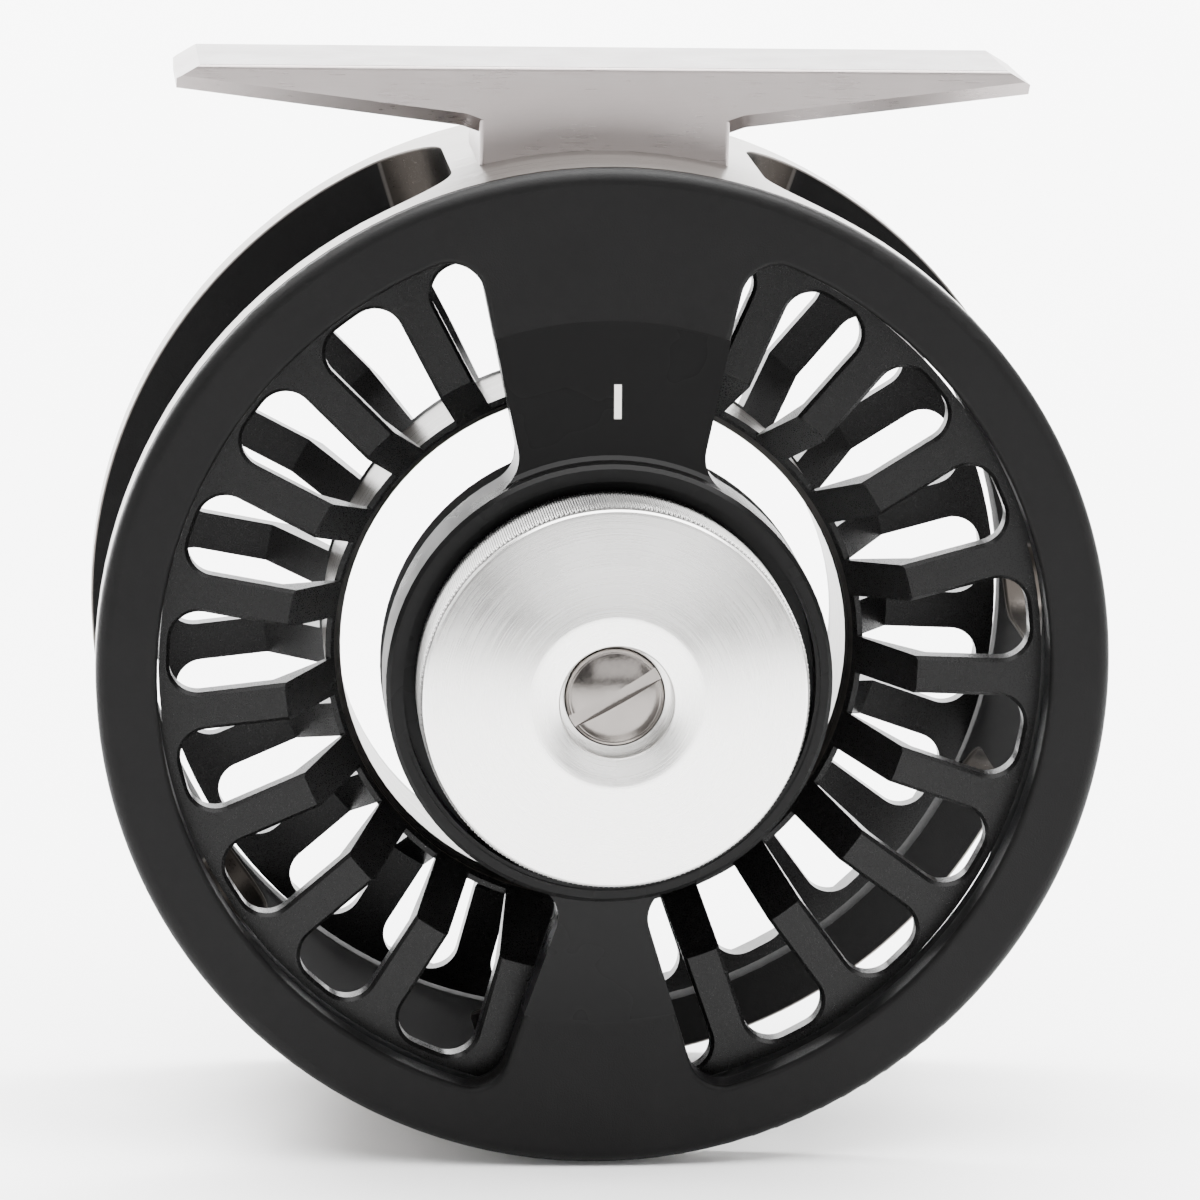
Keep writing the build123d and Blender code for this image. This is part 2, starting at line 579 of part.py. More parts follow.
def spool():
    """Ported spool casting: shell, two arms and the hub with its bearing seats."""
    body = spool_wall()
    for opening in slots(NEAR_SLOT_END, FLANGE_FRONT - 1, BAND_FRONT - 0.3, FLANGE_FRONT, 1):
        body -= opening
    far_back = FAR_FLANGE_FRONT + FLANGE_THICKNESS
    for opening in slots(FAR_SLOT_END, BAND_BACK + 0.3, far_back + 0.5, far_back, -1):
        body -= opening
    body += spool_arm() + Rot(0, 0, 180) * spool_arm()
    body += disc(HUB_RADIUS, HUB_FRONT, HUB_BACK)
    body += around(0, HANDLE_CIRCLE) * disc(HANDLE_BOSS_RADIUS, ARM_BACK, HANDLE_BOSS_BACK)
    body -= disc(8.0, HUB_FRONT - 1, FRONT_BEARING)
    body -= disc(BEARING_RADIUS, FRONT_BEARING, FRONT_BEARING + BEARING_WIDTH)
    body -= disc(5.2, FRONT_BEARING, REAR_BEARING)
    body -= disc(BEARING_RADIUS, REAR_BEARING, SPOOL_BACK + 1)
    body -= ring(6.5, 5.0, RETAINER_FRONT - RUNNING_GAP, RETAINER_BACK + RUNNING_GAP)
    body -= around(0, HANDLE_CIRCLE) * disc(POST_RADIUS, ARM_FRONT - 1, HANDLE_BOSS_BACK + 1)
    body -= around(180, HANDLE_CIRCLE) * disc(WEIGHT_SCREW_RADIUS, ARM_FRONT - 1, ARM_BACK + 1)
    return Rot(0, 0, SPOOL_TURN) * body


def clutch_sleeve():
    """Hardened sleeve on the spool's hub that plugs into the roller clutch."""
    bore = SPINDLE_RADIUS + FREE_GAP
    return ring(SLEEVE_RADIUS, bore, 1.0, HUB_FRONT) + ring(8.0, bore, HUB_FRONT, FRONT_BEARING)


def ball_bearing(front):
    """Shielded ball bearing: two rings, a shield on each side and the balls."""
    back = front + BEARING_WIDTH
    inner = SLEEVE_RADIUS + 0.02
    outer_ring = ring(BEARING_RADIUS, 5.45, front, back)
    inner_ring = ring(4.6, inner, front, back)
    shields = [ring(5.45, 4.65, front + 0.2, front + 0.4), ring(5.45, 4.65, back - 0.4, back - 0.2)]
    ball = Pos(5.025, 0, (front + back) / 2) * Sphere(0.4)
    balls = [Rot(0, 0, 40 * index) * ball for index in range(9)]
    return [outer_ring, inner_ring] + shields + balls


def retaining_ring():
    """Open snap ring behind the rear bearing."""
    gap = extrude(Pos(6, 0, RETAINER_FRONT - 1) * Rectangle(4, 1.6), 3)
    return ring(6.5, 5.3, RETAINER_FRONT, RETAINER_BACK) - gap


def handle_post():
    """Post riveted in the upper arm's raised boss."""
    post = disc(POST_RADIUS, ARM_FRONT, HANDLE_BACK - 1.5)
    post += disc(POST_FLANGE_RADIUS, HANDLE_BOSS_BACK, HANDLE_BOSS_BACK + POST_FLANGE_THICKNESS)
    post -= disc(1.0, HANDLE_BACK - 6.5, HANDLE_BACK)
    return around(SPOOL_TURN, HANDLE_CIRCLE) * post


def handle_washer():
    """Plastic washer under the handle."""
    front = HANDLE_BOSS_BACK + POST_FLANGE_THICKNESS
    washer = ring(POST_FLANGE_RADIUS + 0.2, POST_RADIUS + RUNNING_GAP, front, front + WASHER_THICKNESS)
    return around(SPOOL_TURN, HANDLE_CIRCLE) * washer


def handle_knob():
    """Waisted handle with a counterbore for its screw."""
    bore = POST_RADIUS + RUNNING_GAP
    front = HANDLE_FRONT
    back = HANDLE_BACK
    screw_floor = back - 1.6
    outline = Polyline((bore, screw_floor), (bore, front), (4.0, front), (4.4, front + 0.4))
    waist = Spline((4.4, front + 0.4), (3.7, front + 6.5), (4.4, front + 12.5), (4.9, front + 15.8))
    end = Polyline((4.9, front + 15.8), (4.9, back - 0.8), (4.1, back), (3.3, back), (3.3, screw_floor),
                   (bore, screw_floor))
    face = make_face([outline, waist, end])
    return around(SPOOL_TURN, HANDLE_CIRCLE) * revolve(Plane.XZ * face, Axis.Z)


def handle_screw():
    """Slotted screw that keeps the handle on its post."""
    screw = disc(3.0, HANDLE_BACK - 1.5, HANDLE_BACK - 0.3) + disc(1.0, HANDLE_BACK - 6.0, HANDLE_BACK - 1.5)
    screw -= extrude(Pos(0, 0, HANDLE_BACK - 0.9) * Rectangle(8, 0.7), 2)
    return around(SPOOL_TURN, HANDLE_CIRCLE) * screw


def counterweight():
    """Round weight on the lower arm that balances the handle."""
    weight = turned((1.3, ARM_BACK), (WEIGHT_RADIUS, ARM_BACK), (WEIGHT_RADIUS, WEIGHT_BACK - 0.6),
                    (WEIGHT_RADIUS - 0.6, WEIGHT_BACK), (1.3, WEIGHT_BACK))
    weight -= disc(2.5, WEIGHT_BACK - 1.4, WEIGHT_BACK + 1)
    return around(180 + SPOOL_TURN, HANDLE_CIRCLE) * weight


def counterweight_screw():
    """Screw through the weight into the arm."""
    screw = disc(2.4, WEIGHT_BACK - 1.4, WEIGHT_BACK - 0.2)
    screw += disc(WEIGHT_SCREW_RADIUS, ARM_FRONT, WEIGHT_BACK - 1.4)
    screw -= extrude(Pos(0, 0, WEIGHT_BACK - 0.8) * RegularPolygon(1.0, 6), 2)
    return around(180 + SPOOL_TURN, HANDLE_CIRCLE) * screw


NODES = {
    "frame_cage": frame_cage(),
    "reel_foot": reel_foot(),
    "foot_screws": [place * foot_screw() for place in foot_screw_places()],
    "spindle": spindle(),
    "spindle_nut": spindle_nut(),
    "thrust_plate": thrust_plate(),
    "push_pins": push_pins(),
    "drag_springs": drag_springs(),
    "pressure_plate": pressure_plate(),
    "front_friction_disc": front_friction_disc(),
    "rear_friction_disc": rear_friction_disc(),
    "drag_rotor": drag_rotor(),
    "roller_clutch": roller_clutch(),
    "drag_cover": drag_cover(),
    "cover_screws": cover_screws(),
    "cover_seal": cover_seal(),
    "neck_seal": neck_seal(),
    "click_gear": click_gear(),
    "click_pawl": click_pawl(),
    "pawl_pin": pawl_pin(),
    "click_spring": click_spring(),
    "drag_knob": drag_knob(),
    "knob_screw": knob_screw(),
    "detent_ball": detent_ball(),
    "detent_spring": detent_spring(),
    "core_sleeve": core_sleeve(),
    "spool_cap": spool_cap(),
    "spool": spool(),
    "clutch_sleeve": clutch_sleeve(),
    "front_bearing": ball_bearing(FRONT_BEARING),
    "rear_bearing": ball_bearing(REAR_BEARING),
    "retaining_ring": retaining_ring(),
    "handle_post": handle_post(),
    "handle_washer": handle_washer(),
    "handle_knob": handle_knob(),
    "handle_screw": handle_screw(),
    "counterweight": counterweight(),
    "counterweight_screw": counterweight_screw(),
}

# The row frame: origin in the middle of the foot's flat top, z up out of the foot,
# x along the foot, y along the spin axis from the knob to the handle.
REEL_PLACE = Plane(origin=(0, -CAGE_DEPTH / 2, -SPIN_HEIGHT), x_dir=(0, 0, 1), z_dir=(0, 1, 0)).location

os.makedirs("parts", exist_ok=True)
for name, shape in NODES.items():
    pieces = shape if isinstance(shape, list) else [shape]
    placed = [REEL_PLACE * solid for piece in pieces for solid in piece.solids()]
    node = placed[0] if len(placed) == 1 else Compound(children=placed)
    export_step(node, f"parts/{name}.step")
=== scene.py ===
from math import cos, pi, radians, sin

import bpy
from mathutils import Matrix, Vector


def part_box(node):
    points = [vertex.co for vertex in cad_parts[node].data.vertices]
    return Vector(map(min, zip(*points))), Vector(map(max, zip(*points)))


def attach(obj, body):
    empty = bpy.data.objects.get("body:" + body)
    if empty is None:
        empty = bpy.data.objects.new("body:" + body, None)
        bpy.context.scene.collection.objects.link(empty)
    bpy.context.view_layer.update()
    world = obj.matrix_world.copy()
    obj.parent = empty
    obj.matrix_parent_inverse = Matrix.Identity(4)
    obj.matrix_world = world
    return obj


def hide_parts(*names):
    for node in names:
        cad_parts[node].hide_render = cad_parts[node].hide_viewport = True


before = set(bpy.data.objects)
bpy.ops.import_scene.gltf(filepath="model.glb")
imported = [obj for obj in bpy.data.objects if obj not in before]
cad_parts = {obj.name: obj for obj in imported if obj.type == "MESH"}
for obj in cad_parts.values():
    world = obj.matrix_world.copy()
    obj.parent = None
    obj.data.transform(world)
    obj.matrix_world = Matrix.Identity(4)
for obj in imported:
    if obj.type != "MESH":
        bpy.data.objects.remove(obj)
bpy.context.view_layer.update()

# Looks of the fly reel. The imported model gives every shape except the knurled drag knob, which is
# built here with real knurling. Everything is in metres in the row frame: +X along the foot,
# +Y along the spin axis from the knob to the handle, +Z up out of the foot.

MM = 0.001
PER_METRE = 1000
CAGE_DEPTH = 36.6 * MM

cage_low, cage_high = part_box("frame_cage")
AXIS_Z = (cage_low.z + cage_high.z) / 2
FACE_Y = cage_high.y - CAGE_DEPTH

# Camera: angles in degrees, focal length and shift in pixels of the 1200-pixel frame
AZIMUTH = -5.2
ELEVATION = 12.64
ROLL = 1.15
DISTANCE = 560 * MM
FOCAL_PX = 6714
FRAME_PX = 1200
SHIFT_PX = (6.6, 75.9)
NEAR_CLIP = 0.01


def add_camera():
    """The camera looks at the middle of the cage's front face, with a little roll."""
    azimuth, elevation, roll = radians(AZIMUTH), radians(ELEVATION), radians(ROLL)
    back = Vector((sin(azimuth) * cos(elevation), -cos(azimuth) * cos(elevation), sin(elevation)))
    right = Vector((0, 0, 1)).cross(back).normalized()
    up = back.cross(right)
    rolled_right = right * cos(roll) + up * sin(roll)
    rolled_up = up * cos(roll) - right * sin(roll)
    turn = Matrix((rolled_right, rolled_up, back)).transposed().to_4x4()
    data = bpy.data.cameras.new("camera")
    data.lens = FOCAL_PX / FRAME_PX * data.sensor_width
    data.shift_x = -SHIFT_PX[0] / FRAME_PX
    data.shift_y = SHIFT_PX[1] / FRAME_PX
    data.clip_start = NEAR_CLIP
    camera = bpy.data.objects.new("camera", data)
    bpy.context.scene.collection.objects.link(camera)
    target = Vector((0, FACE_Y, AXIS_Z))
    camera.matrix_world = Matrix.Translation(target + back * DISTANCE) @ turn
    bpy.context.scene.camera = camera


class Nodes:
    """A material and short ways to add nodes to it."""

    def __init__(self, name):
        self.material = bpy.data.materials.new(name)
        self.material.use_nodes = True
        self.tree = self.material.node_tree
        self.shader = self.tree.nodes["Principled BSDF"]
        place = self.tree.nodes.new("ShaderNodeTexCoord").outputs["Object"]
        parts = self.tree.nodes.new("ShaderNodeSeparateXYZ")
        self.tree.links.new(place, parts.inputs[0])
        # millimetres: across, depth behind the cage's front face, height over the spin axis
        self.across = self.math("MULTIPLY", parts.outputs["X"], PER_METRE)
        self.depth = self.math("MULTIPLY", self.math("SUBTRACT", parts.outputs["Y"], FACE_Y), PER_METRE)
        self.height = self.math("MULTIPLY", self.math("SUBTRACT", parts.outputs["Z"], AXIS_Z), PER_METRE)
        across_sq = self.math("MULTIPLY", self.across, self.across)
        self.radius = self.math("SQRT", self.math("MULTIPLY_ADD", self.height, self.height, across_sq))
        self.angle = self.math("ARCTAN2", self.across, self.height)

    def put(self, socket, value):
        """Links or sets one input."""
        if isinstance(value, bpy.types.NodeSocket):
            self.tree.links.new(value, socket)
        else:
            socket.default_value = value

    def math(self, operation, *values):
        """One arithmetic step on sockets or numbers."""
        node = self.tree.nodes.new("ShaderNodeMath")
        node.operation = operation
        for socket, value in zip(node.inputs, values):
            self.put(socket, value)
        return node.outputs[0]

    def point(self, x, y, z):
        """A place made of three numbers."""
        node = self.tree.nodes.new("ShaderNodeCombineXYZ")
        for socket, value in zip(node.inputs, (x, y, z)):
            self.put(socket, value)
        return node.outputs[0]

    def noise(self, at, scale=1.0, detail=2.0):
        """Smooth noise from 0 to 1; one grain is about 1 / scale of the point's units."""
        node = self.tree.nodes.new("ShaderNodeTexNoise")
        self.put(node.inputs["Vector"], at)
        node.inputs["Scale"].default_value = scale
        node.inputs["Detail"].default_value = detail
        return node.outputs["Fac"]

    def spread(self, value, low, high, start=0.3, end=0.7):
        """Maps value from start..end to low..high."""
        node = self.tree.nodes.new("ShaderNodeMapRange")
        self.put(node.inputs["Value"], value)
        for name, number in (("From Min", start), ("From Max", end), ("To Min", low), ("To Max", high)):
            self.put(node.inputs[name], number)
        return node.outputs[0]

    def band(self, value, low, high, soft=0.04):
        """1 where value lies between low and high, with a soft edge."""
        rise = self.spread(value, 0, 1, low - soft, low + soft)
        fall = self.spread(value, 1, 0, high - soft, high + soft)
        return self.math("MULTIPLY", rise, fall)

    def zone(self, radius, depth):
        """1 in a ring round the spin axis, given by its radii and its depths."""
        return self.math("MULTIPLY", self.band(self.radius, *radius), self.band(self.depth, *depth))

    def mix(self, share, low, high):
        """Numbers or colours mixed by share."""
        node = self.tree.nodes.new("ShaderNodeMix")
        colour = isinstance(low, tuple) or isinstance(high, tuple) or getattr(low, "type", "") == "RGBA"
        node.data_type = "RGBA" if colour else "FLOAT"
        # the mix node keeps a set of sockets for each type of value
        first_input, output = (6, 2) if colour else (2, 0)
        self.put(node.inputs[0], share)
        self.put(node.inputs[first_input], low)
        self.put(node.inputs[first_input + 1], high)
        return node.outputs[output]

    def shades(self, share, colour, low, high):
        """One colour made darker or lighter by share."""
        return self.mix(share, tone(colour, low), tone(colour, high))

    def here(self):
        """The shaded place in millimetres."""
        return self.point(self.across, self.depth, self.height)

    def bump(self, height, depth_mm, strength):
        """Surface grain, depth_mm deep."""
        node = self.tree.nodes.new("ShaderNodeBump")
        node.inputs["Strength"].default_value = strength
        node.inputs["Distance"].default_value = depth_mm * MM
        self.put(node.inputs["Height"], height)
        self.tree.links.new(node.outputs[0], self.shader.inputs["Normal"])

    def finish(self, colour, roughness, metallic, specular=0.5):
        """Gives the shader its inputs and returns the material."""
        self.shader.inputs["Specular IOR Level"].default_value = specular
        self.put(self.shader.inputs["Base Color"], colour)
        self.put(self.shader.inputs["Roughness"], roughness)
        self.put(self.shader.inputs["Metallic"], metallic)
        return self.material


def tone(colour, factor):
    """A colour made darker or lighter, with its alpha."""
    return (colour[0] * factor, colour[1] * factor, colour[2] * factor, 1.0)


# Colours, linear red, green and blue
BLACK = (0.0031, 0.0030, 0.0030)
SILVER = (0.19, 0.175, 0.162)
# the openings' side walls: silver darkened to near black as painted shade
SHADED_WALL_SILVER = (0.020, 0.0175, 0.0155)
BAND_SILVER = (0.088, 0.079, 0.070)
KNOB_SILVER = (0.74, 0.73, 0.715)
CAP_SILVER = (0.5, 0.49, 0.48)
FOOT_SILVER = (0.29, 0.262, 0.256)
NICKEL = (0.165, 0.152, 0.143)
GROUND_STEEL = (0.52, 0.52, 0.52)
SPRING_STEEL = (0.40, 0.40, 0.41)
BRONZE = (0.62, 0.42, 0.20)
COMPOSITE = (0.045, 0.045, 0.048)
RUBBER = (0.03, 0.03, 0.03)
HANDLE_BLACK = (0.022, 0.022, 0.023)
WHITE_PLASTIC = (0.75, 0.75, 0.73)
LINE_COLOUR = (0.62, 0.60, 0.57, 1.0)

# Where the cage, spool, foot and knob change their finish or their painted shade, in millimetres: radii from
# the spin axis, depths behind the cage's front face, across to the right and height above the spin axis
CAGE_OUTSIDE_RADIUS = (42.36, 60.0)
CAGE_OUTSIDE_DEPTH = (2.05, 60.0)
CAGE_WALL_RADIUS = (37.75, 42.3)
CAGE_WALL_DEPTH = (5.6, 31.7)
CAGE_BORE_EDGE = (37.9, 38.1)
CAGE_BORE_DEPTH = (3.0, 36.0)
SMOOTH_SPOKE_EDGE = (29.8, 30.2)
LINE_ACROSS = (0.1, 0.7)
LINE_HEIGHT = (22.0, 24.8)
LINE_DEPTH = (-3.0, 0.5)
LINE_SOFT = 0.03
ARBOR_BAND_RADIUS = (20.9, 22.85)
ARBOR_BAND_DEPTH = (12.2, 23.5)
FOOT_TOP = 49.45
# heights where the painted shade on the foot's top face begins
FOOT_TOP_SHADE_EDGE = (FOOT_TOP - 0.08, FOOT_TOP - 0.03)
KNURL_EDGE = (15.89, 15.92)
# radii over which the painted shade between the knurl's teeth fades towards the peaks
KNURL_SHADE_RADII = (15.94, 16.12)

# Tool marks per millimetre
CAGE_MARKS = 8.0
SPOOL_MARKS = 8.0
COVER_MARKS = 6.0
METAL_MARKS = 9.0


def turned_lines(nodes, marks_per_mm):
    """Fine tool marks that run round the spin axis."""
    at = nodes.point(
        nodes.math("MULTIPLY", nodes.radius, marks_per_mm),
        nodes.math("MULTIPLY", nodes.depth, marks_per_mm),
        nodes.math("MULTIPLY", nodes.angle, 0.6))
    return nodes.noise(at, scale=1.0, detail=3.0)


def cage_material():
    """Bead-blasted black with smooth spokes, bare machined outer band, painted shade on the openings' walls,
    and a plain index line.
    """
    nodes = Nodes("black_cage")
    here = nodes.here()
    # bare metal: the outer surface behind the trim groove, and the side walls of the openings, whose metal
    # is painted near black as painted shade
    outside = nodes.zone(CAGE_OUTSIDE_RADIUS, CAGE_OUTSIDE_DEPTH)
    walls = nodes.zone(CAGE_WALL_RADIUS, CAGE_WALL_DEPTH)
    bare = nodes.math("MAXIMUM", outside, walls)
    line = nodes.math(
        "MULTIPLY", nodes.band(nodes.across, *LINE_ACROSS, LINE_SOFT),
        nodes.band(nodes.height, *LINE_HEIGHT, LINE_SOFT))
    line = nodes.math("MULTIPLY", line, nodes.band(nodes.depth, *LINE_DEPTH))
    smooth = nodes.spread(nodes.radius, 1, 0, *SMOOTH_SPOKE_EDGE)
    grain = nodes.noise(here, scale=7.0, detail=3.0)
    cloud = nodes.noise(here, scale=0.12, detail=2.0)
    marks = turned_lines(nodes, CAGE_MARKS)
    black = nodes.shades(cloud, BLACK, 0.8, 1.25)
    black = nodes.mix(nodes.math("MULTIPLY", smooth, 0.4), black, tone(BLACK, 0.55))
    # painted shade: the openings' walls get a near-black copy of the silver
    silver = nodes.mix(
        walls, nodes.shades(marks, SILVER, 0.82, 1.12), nodes.shades(marks, SHADED_WALL_SILVER, 0.9, 1.1))
    colour = nodes.mix(bare, black, silver)
    colour = nodes.mix(line, colour, LINE_COLOUR)
    rough_black = nodes.mix(smooth, nodes.spread(grain, 0.42, 0.56), nodes.spread(cloud, 0.24, 0.32))
    roughness = nodes.mix(bare, rough_black, nodes.spread(marks, 0.26, 0.40))
    # the walls inside the cage are dull, so that they don't mirror the pale stage at a flat angle
    inside = nodes.spread(nodes.radius, 1, 0, *CAGE_BORE_EDGE)
    inside = nodes.math("MULTIPLY", inside, nodes.band(nodes.depth, *CAGE_BORE_DEPTH))
    roughness = nodes.mix(inside, roughness, 1.0)
    blast = nodes.mix(smooth, grain, nodes.math("MULTIPLY_ADD", grain, 0.12, 0.44))
    relief = nodes.mix(bare, blast, nodes.math("MULTIPLY_ADD", marks, 0.25, 0.37))
    nodes.bump(relief, depth_mm=0.035, strength=0.75)
    return nodes.finish(colour, roughness, bare, specular=0.08)


def spool_material():
    """Satin black with a bare machined arbor band."""
    nodes = Nodes("black_spool")
    here = nodes.here()
    bare = nodes.zone(ARBOR_BAND_RADIUS, ARBOR_BAND_DEPTH)
    cloud = nodes.noise(here, scale=0.15, detail=2.0)
    grain = nodes.noise(here, scale=9.0, detail=2.0)
    marks = turned_lines(nodes, SPOOL_MARKS)
    band_metal = nodes.shades(marks, BAND_SILVER, 0.8, 1.1)
    colour = nodes.mix(bare, nodes.shades(cloud, BLACK, 0.7, 1.15), band_metal)
    roughness = nodes.mix(bare, nodes.spread(grain, 0.24, 0.34), nodes.spread(marks, 0.25, 0.38))
    height = nodes.mix(bare, nodes.math("MULTIPLY", grain, 0.35), nodes.math("MULTIPLY", marks, 0.35))
    nodes.bump(height, depth_mm=0.02, strength=0.6)
    return nodes.finish(colour, roughness, bare, specular=0.11)


def smooth_black_material(name, factor=0.8):
    """Semi-gloss turned black."""
    nodes = Nodes(name)
    marks = turned_lines(nodes, COVER_MARKS)
    cloud = nodes.noise(nodes.here(), scale=0.3, detail=2.0)
    nodes.bump(marks, depth_mm=0.01, strength=0.5)
    shade = nodes.shades(cloud, BLACK, factor * 0.8, factor * 1.2)
    return nodes.finish(shade, nodes.spread(marks, 0.2, 0.32), metallic=0.0, specular=0.2)


def turned_shade(nodes):
    """Shading of turned bare metal: turning marks and faint clouds, with a little relief."""
    marks = turned_lines(nodes, METAL_MARKS)
    cloud = nodes.noise(nodes.here(), scale=0.25, detail=3.0)
    nodes.bump(marks, depth_mm=0.012, strength=0.5)
    return nodes.math("ADD", nodes.math("MULTIPLY", marks, 0.6), nodes.math("MULTIPLY", cloud, 0.4))


def turned_metal(name, colour):
    """Bare metal with fine turning marks round the spin axis."""
    nodes = Nodes(name)
    shade = turned_shade(nodes)
    tint = nodes.shades(shade, colour, 0.93, 1.06)
    return nodes.finish(tint, nodes.spread(shade, 0.2, 0.34), metallic=1.0)


def knob_material():
    """Turned aluminium; the knurled rim is painted darker as painted shade, most of all between its teeth.
    """
    nodes = Nodes("knob_aluminium")
    shade = turned_shade(nodes)
    rim = nodes.spread(nodes.radius, 0, 1, *KNURL_EDGE)
    knurl_cavity_shade = nodes.spread(nodes.radius, 0, 1, *KNURL_SHADE_RADII)
    # painted shade: the knurled rim's colour is darkened, darkest in the valleys between its teeth
    colour = nodes.mix(
        rim, nodes.shades(shade, KNOB_SILVER, 0.93, 1.06), nodes.shades(knurl_cavity_shade, KNOB_SILVER, 0.24, 0.68))
    nodes.shader.inputs["Anisotropic"].default_value = 0.4
    roughness = nodes.mix(rim, nodes.spread(shade, 0.2, 0.34), 0.38)
    return nodes.finish(colour, roughness, metallic=1.0)


def brushed_metal(name, colour):
    """Bare metal brushed along the foot, with a slight blasted grain and painted shade on its top face."""
    nodes = Nodes(name)
    streaks = nodes.noise(nodes.point(
        nodes.math("MULTIPLY", nodes.across, 0.35), nodes.math("MULTIPLY", nodes.depth, 9.0),
        nodes.math("MULTIPLY", nodes.height, 9.0)), scale=1.0, detail=4.0)
    cloud = nodes.noise(nodes.here(), scale=0.18, detail=3.0)
    grain = nodes.noise(nodes.here(), scale=8.0, detail=2.0)
    shade = nodes.math("ADD", nodes.math("MULTIPLY", streaks, 0.5), nodes.math("MULTIPLY", cloud, 0.5))
    relief = nodes.math("ADD", nodes.math("MULTIPLY", streaks, 0.6), nodes.math("MULTIPLY", grain, 0.4))
    nodes.bump(relief, depth_mm=0.012, strength=0.5)
    metal = nodes.shades(shade, colour, 0.9, 1.08)
    # painted shade: the top face mirrors the light above it, so its metal is painted darker
    top_face_painted_shade = nodes.spread(nodes.height, 0, 1, *FOOT_TOP_SHADE_EDGE)
    metal = nodes.mix(top_face_painted_shade, metal, nodes.shades(shade, colour, 0.5, 0.62))
    return nodes.finish(metal, nodes.spread(shade, 0.24, 0.38), metallic=1.0)


def plain_material(name, colour, roughness, metallic, grain_scale=3.0, bump_mm=0.01):
    """A cast, moulded or ground surface with fine grain and slight shading."""
    nodes = Nodes(name)
    cloud = nodes.noise(nodes.here(), scale=0.4, detail=3.0)
    grain = nodes.noise(nodes.here(), scale=grain_scale, detail=3.0)
    nodes.bump(grain, bump_mm, strength=0.6)
    shade = nodes.shades(cloud, colour, 0.85, 1.12)
    return nodes.finish(shade, nodes.spread(grain, roughness * 0.85, roughness * 1.2), metallic)


def paint(material, *names):
    """Gives the named CAD nodes one material."""
    for name in names:
        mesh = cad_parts[name].data
        mesh.materials.clear()
        mesh.materials.append(material)


SHARP_EDGE = radians(16)


def mesh_piece(name, points, faces, material, body):
    """A new mesh object that rides on a body, smooth except at its edges."""
    mesh = bpy.data.meshes.new(name)
    mesh.from_pydata(points, [], faces)
    mesh.materials.append(material)
    mesh.shade_smooth()
    mesh.set_sharp_from_angle(angle=SHARP_EDGE)
    piece = bpy.data.objects.new(name, mesh)
    bpy.context.scene.collection.objects.link(piece)
    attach(piece, body)
    return piece


# The drag knob in millimetres: its knurling, and its profile before and after it as radii and depths
KNURL_RADIUS = 16.15
KNURL_DEPTH = 0.22
KNURL_TEETH = 236
KNURL_FRONT = -8.4
KNURL_BACK = -1.6
KNOB_FRONT_RINGS = [
    (3.05, -5.3), (3.05, -7.1), (4.7, -7.1), (4.7, -10.0), (4.8, -10.14), (5.4, -10.3), (6.1, -10.44),
    (6.8, -10.55), (7.15, -10.59), (7.4, -10.57), (11.0, -9.86), (15.4, -9.0), (15.72, -8.9),
    (15.88, -8.76), (15.93, -8.6)]
KNOB_BACK_RINGS = [
    (15.93, -1.5), (15.2, -1.5), (15.2, -3.5), (11.6, -3.5), (11.6, -6.0), (6.4, -6.0), (6.4, -5.3)]


def knurled_knob(material):
    """The drag knob with diamond knurling: each tooth is a low pyramid."""
    columns = 2 * KNURL_TEETH
    pitch = 2 * pi * KNURL_RADIUS / columns
    rows = round((KNURL_BACK - KNURL_FRONT) / pitch)
    step = (KNURL_BACK - KNURL_FRONT) / rows
    valley = KNURL_RADIUS - KNURL_DEPTH
    knurl_rings = [(valley, KNURL_FRONT + row * step) for row in range(rows + 1)]
    rings = KNOB_FRONT_RINGS + knurl_rings + KNOB_BACK_RINGS
    first = len(KNOB_FRONT_RINGS)
    points = []
    for index, (radius, depth) in enumerate(rings):
        row = index - first
        inside = 0 < row < rows
        for column in range(columns):
            peak = inside and (row + column) % 2 == 0
            reach = KNURL_RADIUS if peak else radius
            angle = 2 * pi * column / columns
            points.append((reach * sin(angle) * MM, FACE_Y + depth * MM, AXIS_Z + reach * cos(angle) * MM))
    faces = []
    for index in range(len(rings)):
        row = index - first
        here = index * columns
        after = (index + 1) % len(rings) * columns
        for column in range(columns):
            side = (column + 1) % columns
            corners = [here + column, here + side, after + side, after + column]
            if 0 <= row < rows:
                # the cut runs between the two corners that aren't peaks
                if (row + column) % 2 == 0:
                    corners = corners[1:] + corners[:1]
                faces += [(corners[0], corners[1], corners[2]), (corners[0], corners[2], corners[3])]
            else:
                faces.append(tuple(corners))
    knob = mesh_piece("knurled_knob", points, faces, material, "knob")
    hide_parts("drag_knob")


add_camera()

paint(cage_material(), "frame_cage")
paint(spool_material(), "spool")
paint(brushed_metal("foot_aluminium", FOOT_SILVER), "reel_foot")
knob_metal = knob_material()
paint(knob_metal, "drag_knob")
knurled_knob(knob_metal)
paint(turned_metal("cap_aluminium", CAP_SILVER), "spool_cap")
paint(plain_material("nickel_steel", NICKEL, roughness=0.17, metallic=1.0), "knob_screw", "handle_screw")
paint(smooth_black_material("black_cover"), "drag_cover")
paint(smooth_black_material("black_brass", factor=1.0), "counterweight")
paint(turned_metal("ground_steel", GROUND_STEEL), "foot_screws", "spindle", "spindle_nut", "thrust_plate",
      "push_pins", "pressure_plate", "drag_rotor", "roller_clutch", "cover_screws", "click_pawl", "pawl_pin",
      "detent_ball", "clutch_sleeve", "front_bearing", "rear_bearing", "handle_post", "counterweight_screw")
paint(plain_material("spring_steel", SPRING_STEEL, roughness=0.3, metallic=1.0), "drag_springs",
      "click_spring", "detent_spring", "retaining_ring")
paint(plain_material("friction_composite", COMPOSITE, roughness=0.7, metallic=0.0), "front_friction_disc",
      "rear_friction_disc")
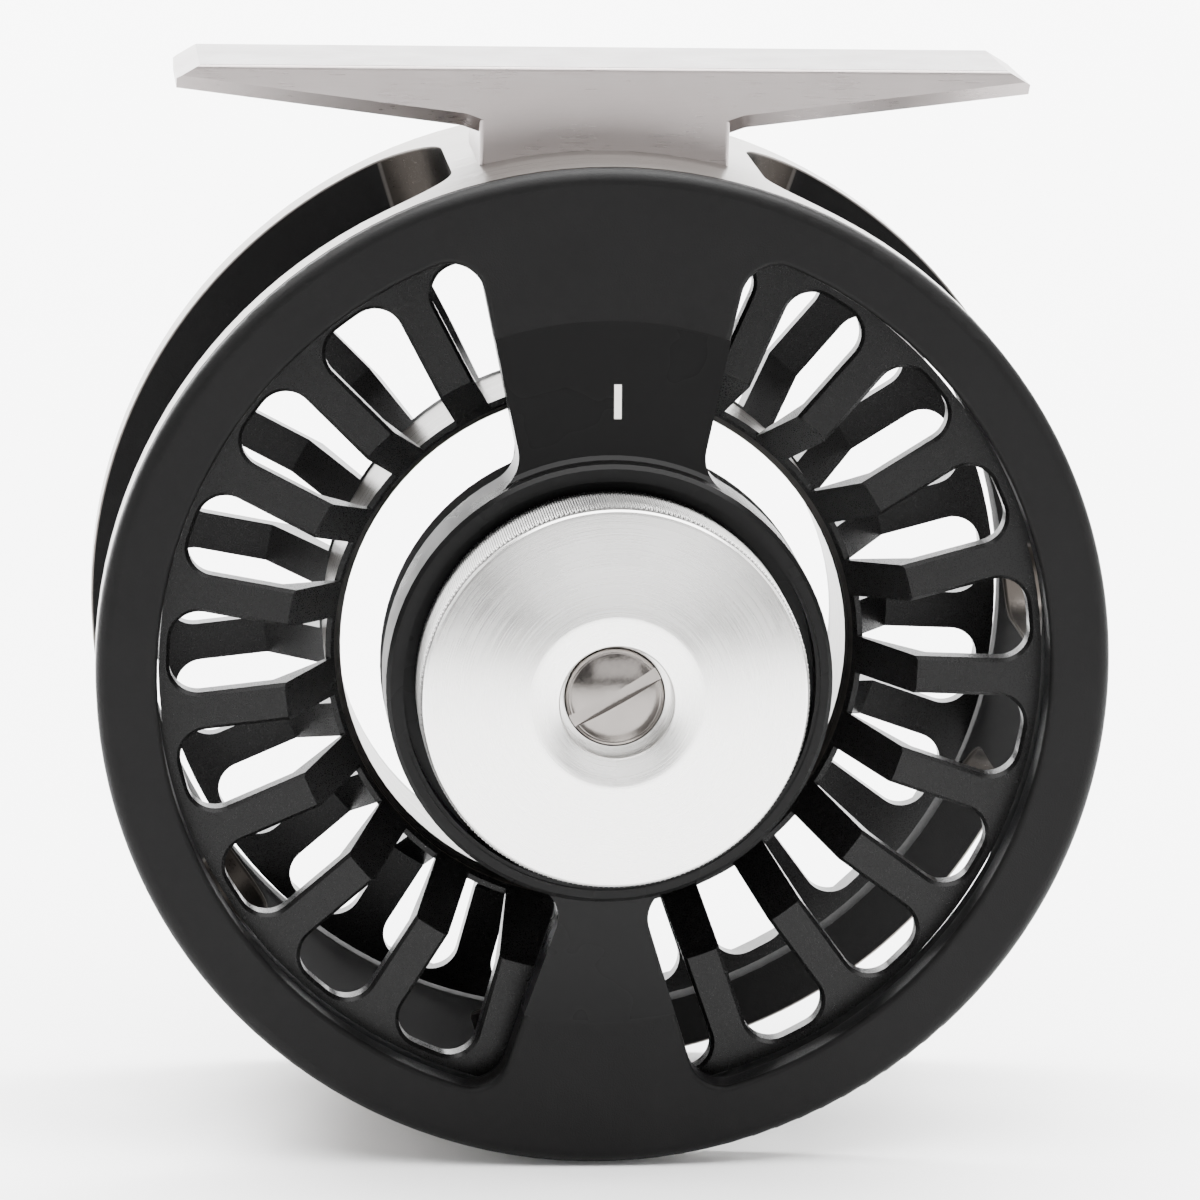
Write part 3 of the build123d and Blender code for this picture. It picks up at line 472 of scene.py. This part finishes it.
paint(plain_material("seal_rubber", RUBBER, roughness=0.6, metallic=0.0), "cover_seal", "neck_seal")
paint(plain_material("bronze", BRONZE, roughness=0.32, metallic=1.0), "click_gear", "core_sleeve")
handle_plastic = plain_material(
    "handle_plastic", HANDLE_BLACK, roughness=0.42, metallic=0.0, grain_scale=2.0, bump_mm=0.02)
paint(handle_plastic, "handle_knob")
paint(plain_material("white_plastic", WHITE_PLASTIC, roughness=0.45, metallic=0.0), "handle_washer")


# The stage, in metres
FLOOR_GAP = 0.3 * MM
FLOOR_FRONT = -3.0
FLOOR_BACK = 0.9
FLOOR_HALF_WIDTH = 4.0
BEND_RADIUS = 0.8
BEND_STEPS = 16
WALL_TOP = 4.0
FLOOR_WHITE = (0.93, 0.93, 0.93, 1)
WORLD_WHITE = (1.0, 0.99, 0.98, 1)
WORLD_STRENGTH = 0.22

# Name, place, size and watts of each soft light that faces the reel
SOFTBOXES = [
    ("top_softbox", (0.05, -0.12, 0.42), (0.7, 0.5), 12),
    ("left_softbox", (-1.0, -0.5, 0.25), (0.5, 1.2), 6),
    ("right_softbox", (1.1, -0.4, 0.15), (0.5, 1.2), 10),
    ("front_softbox", (0.2, -1.7, 0.30), (1.2, 0.5), 6)]
# The light on the wall behind the reel, and the place on the wall that it faces
BACKDROP_LIGHT = ("backdrop_light", (0, 0.5, 1.4), (2.5, 0.6), 260)
BACKDROP_AIM = (0, 1.6, 0.3)


def add_stage():
    """Pale floor that sweeps up behind the reel."""
    low = cage_low.z - FLOOR_GAP
    profile = [(FLOOR_FRONT, low), (FLOOR_BACK, low)]
    for index in range(1, BEND_STEPS + 1):
        turn = index / BEND_STEPS * pi / 2
        profile.append((FLOOR_BACK + BEND_RADIUS * sin(turn), low + BEND_RADIUS * (1 - cos(turn))))
    profile.append((FLOOR_BACK + BEND_RADIUS, low + WALL_TOP))
    points = [(side * FLOOR_HALF_WIDTH, y, z) for y, z in profile for side in (-1, 1)]
    faces = [(2 * i, 2 * i + 1, 2 * i + 3, 2 * i + 2) for i in range(len(profile) - 1)]
    mesh = bpy.data.meshes.new("floor")
    mesh.from_pydata(points, [], faces)
    mesh.shade_smooth()
    floor = bpy.data.objects.new("floor", mesh)
    bpy.context.scene.collection.objects.link(floor)
    material = bpy.data.materials.new("pale_floor")
    material.use_nodes = True
    shader = material.node_tree.nodes["Principled BSDF"]
    shader.inputs["Base Color"].default_value = FLOOR_WHITE
    shader.inputs["Roughness"].default_value = 0.9
    shader.inputs["Specular IOR Level"].default_value = 0.1
    mesh.materials.append(material)


def add_light(name, place, size, power, aim):
    """A rectangular soft light that faces aim."""
    data = bpy.data.lights.new(name, "AREA")
    data.shape = "RECTANGLE"
    data.size, data.size_y = size
    data.energy = power
    light = bpy.data.objects.new(name, data)
    bpy.context.scene.collection.objects.link(light)
    light.location = place
    light.rotation_mode = "QUATERNION"
    light.rotation_quaternion = (Vector(place) - Vector(aim)).to_track_quat("Z", "Y")


def add_world():
    """A pale even surround."""
    world = bpy.data.worlds.new("studio")
    world.use_nodes = True
    background = world.node_tree.nodes["Background"]
    background.inputs["Color"].default_value = WORLD_WHITE
    background.inputs["Strength"].default_value = WORLD_STRENGTH
    bpy.context.scene.world = world


add_stage()
add_world()
for softbox in SOFTBOXES:
    add_light(*softbox, aim=(0, 0, AXIS_Z))
add_light(*BACKDROP_LIGHT, aim=BACKDROP_AIM)
